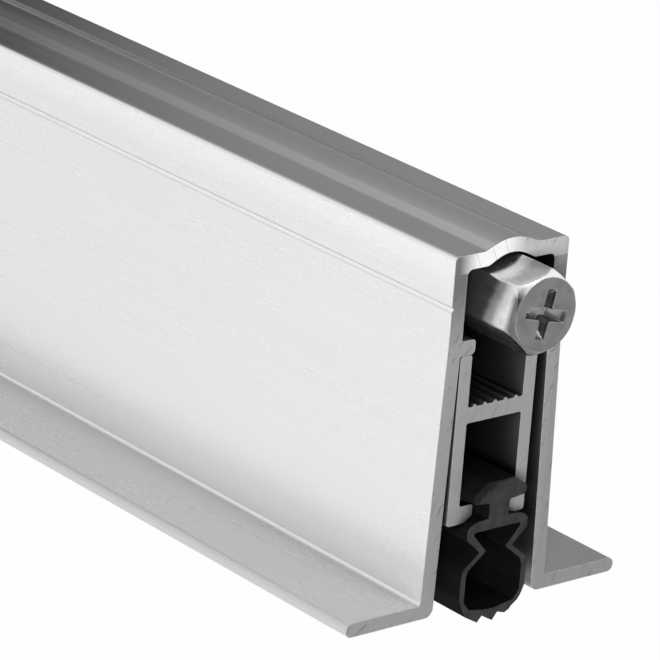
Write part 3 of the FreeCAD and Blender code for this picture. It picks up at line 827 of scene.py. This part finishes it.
# Painted light and shade on the head: near the face the upper side lighter and the other sides much
# darker; the face and the cross recess darker.
chamfer = rising(tree, where["X"], face_x - 0.0016, 0.0009)
top_side = rising(tree, where["Z"], rod_line + top_facet, 0.0008)
painted_light = mix_number(tree, chamfer, 1.05, mix_number(tree, top_side, 0.24, 1.35))
painted_light = mix_number(tree, face, painted_light, 0.29)
painted_light = mix_number(tree, in_recess, painted_light, 0.45)
colour = tint(tree, zinc["Colour"], painted_light)
# Edges lightened: wear and painted highlight.
colour = mix_colour(tree, times(tree, wear_and_highlight, 0.55), colour, grey(0.9))
put(tree, colour, shader["Base Color"])
put(tree, zinc["Roughness"], shader["Roughness"])
put(tree, relief(tree, zinc["Height"], 0.2, 0.00005, edge=0.0001), shader["Normal"])
head.data.materials.clear()
head.data.materials.append(screw_finish)
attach(head, "adjusting_screw")
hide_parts("adjusting_screw")

# Camera. A long lens about 0.6 m from the screw end, looking down 20 degrees on the left face,
# held slightly tilted.
scene = bpy.context.scene
camera_place = Vector((0.5841, -0.3809, 0.2394))
camera_ahead = Vector((-0.71713, 0.60662, -0.34312))
camera_up = Vector((-0.31049, 0.16269, 0.93655))
camera_side = camera_ahead.cross(camera_up)
camera_data = bpy.data.cameras.new("camera")
camera_data.sensor_width = 36.0
camera_data.lens = 264.0
camera_data.clip_start = 0.01
camera = bpy.data.objects.new("camera", camera_data)
scene.collection.objects.link(camera)
camera.matrix_world = Matrix((
    (camera_side.x, camera_up.x, -camera_ahead.x, camera_place.x),
    (camera_side.y, camera_up.y, -camera_ahead.y, camera_place.y),
    (camera_side.z, camera_up.z, -camera_ahead.z, camera_place.z),
    (0.0, 0.0, 0.0, 1.0),
))
scene.camera = camera

# Studio. A white floor where the lowered seal meets it, in a white room that metal mirrors in greys:
# dark behind, pale to the left, to the screw end and overhead. Two large lamps light the left face
# and the end without being mirrored, and a small weak one lights the top.
def looked_at(tree):
    """Whether the camera sees a thing directly, and whether it shows there or in a surface."""
    path = add(tree, "ShaderNodeLightPath").outputs
    shown = larger(tree, path["Is Camera Ray"], path["Is Glossy Ray"])
    return path["Is Camera Ray"], larger(tree, shown, path["Is Transmission Ray"])


scene.view_settings.view_transform = "Standard"
white = grey(1.0)
world = bpy.data.worlds.new("studio")
scene.world = world
world.use_nodes = True
tree = world.node_tree
tree.nodes.clear()
room = add(tree, "ShaderNodeBackground")
room.inputs["Color"].default_value = white
room.inputs["Strength"].default_value = 0.06
seen = add(tree, "ShaderNodeBackground")
way = axes(tree, "Generated")
dark, dim, pale = grey(0.01), grey(0.26), grey(0.9)
nearer = rising(tree, way["X"], -0.78, 0.035)
endward = rising(tree, way["X"], -0.5, 0.3)
leftward = falling(tree, way["Y"], -0.05, 0.3)
overhead = rising(tree, way["Z"], 0.60, 0.3)
over_horizon = rising(tree, way["Z"], -0.03, 0.04)
flag = times(tree, rising(tree, way["X"], 0.1, 0.2), leftward)
sky = mix_colour(tree, nearer, dark, dim)
sky = mix_colour(tree, larger(tree, leftward, endward), sky, pale)
sky = mix_colour(tree, flag, sky, grey(0.2))
sky = mix_colour(tree, overhead, sky, pale)
sky = mix_colour(tree, over_horizon, white, sky)
by_camera, shown = looked_at(tree)
put(tree, mix_colour(tree, by_camera, sky, white), seen.inputs["Color"])
mix = add(tree, "ShaderNodeMixShader")
out = add(tree, "ShaderNodeOutputWorld")
put(tree, shown, mix.inputs[0])
tree.links.new(room.outputs[0], mix.inputs[1])
tree.links.new(seen.outputs[0], mix.inputs[2])
tree.links.new(mix.outputs[0], out.inputs["Surface"])


def lamp(name, place, target, width, height, power, mirrored):
    data = bpy.data.lights.new(name, "AREA")
    data.shape = "RECTANGLE"
    data.size = width
    data.size_y = height
    data.energy = power
    thing = bpy.data.objects.new(name, data)
    scene.collection.objects.link(thing)
    thing.location = place
    aim = Vector(target) - Vector(place)
    thing.rotation_euler = aim.to_track_quat("-Z", "Y").to_euler()
    thing.visible_glossy = mirrored


lamp(
    "left lamp", place=(0.20, -0.95, 0.04), target=(0.05, 0.0, 0.03),
    width=1.0, height=0.22, power=2.55, mirrored=False,
)
lamp(
    "top lamp", place=(0.24, 0.02, 0.20), target=(0.16, 0.0, 0.04),
    width=0.06, height=0.06, power=0.06, mirrored=True,
)
lamp(
    "end lamp", place=(0.83, -0.62, 0.14), target=(0.16, 0.0, 0.02),
    width=0.35, height=0.30, power=7.2, mirrored=False,
)

start()
floor_z = -0.0160
white_share = 0.985
bpy.ops.mesh.primitive_plane_add(size=6.0, location=(0.0, 0.0, floor_z))
floor = bpy.context.object
floor.name = "floor"
floor_finish, tree, shader = finish("pale sweep", 0.9, 0.0)
shader["Base Color"].default_value = grey(0.9)
shader["Specular IOR Level"].default_value = 0.0
shown = looked_at(tree)[1]
glow = add(tree, "ShaderNodeEmission")
glow.inputs["Color"].default_value = white
glow.inputs["Strength"].default_value = 1.0
mix = add(tree, "ShaderNodeMixShader")
put(tree, times(tree, shown, white_share), mix.inputs[0])
tree.links.new(tree.nodes["Principled BSDF"].outputs[0], mix.inputs[1])
tree.links.new(glow.outputs[0], mix.inputs[2])
tree.links.new(mix.outputs[0], tree.nodes["Material Output"].inputs["Surface"])
floor.data.materials.append(floor_finish)
